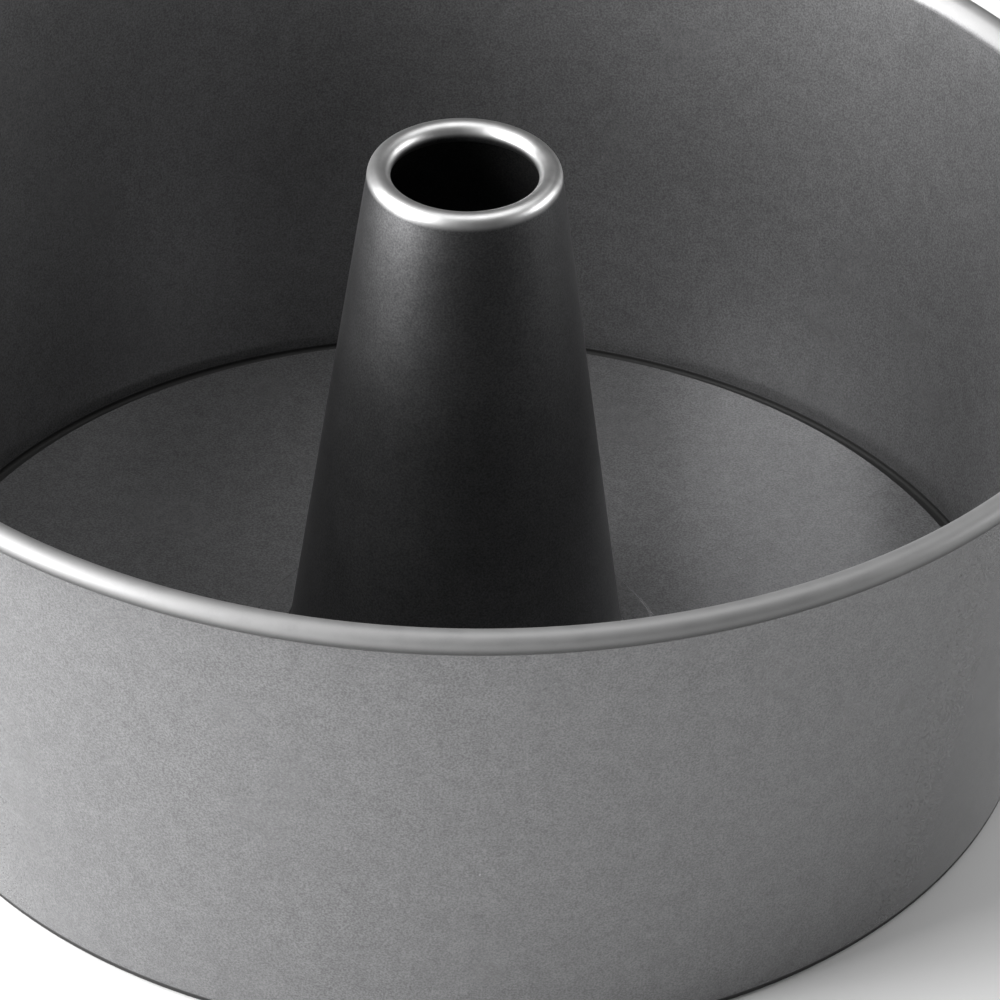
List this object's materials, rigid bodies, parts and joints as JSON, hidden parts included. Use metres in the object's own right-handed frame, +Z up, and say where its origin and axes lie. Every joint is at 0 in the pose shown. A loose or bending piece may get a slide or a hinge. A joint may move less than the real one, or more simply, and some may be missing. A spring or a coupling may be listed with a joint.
{
  "type": "angel food cake pan",
  "caption": "Round tapered cake pan with a rolled rim and a lift-out flat base that carries a tall hollow cone, for ring-shaped sponge cakes.",
  "frame": {"origin": "centre of the pan's underside, on the plane that it stands on", "axes": "+Z up along the axis of the pan and of its centre tube; X and Y are any two directions across the round pan"},
  "size_m": [0.254, 0.254, 0.1136],
  "materials": {
    "coated_steel": "satin, fine metallic flake",
    "rim_wire_steel": "drawn wire"
  },
  "bodies": {
    "pan_wall": {"side_wall": "coated_steel", "rim_wire": "rim_wire_steel"},
    "lift_out_base": {"base_plate": "coated_steel", "centre_tube": "coated_steel"}
  },
  "joints": [
    {"name": "base_lift", "type": "slide", "parent": "pan_wall", "child": "lift_out_base", "axis": [0, 0, 1], "range_m": [0, 0.112]}
  ]
}
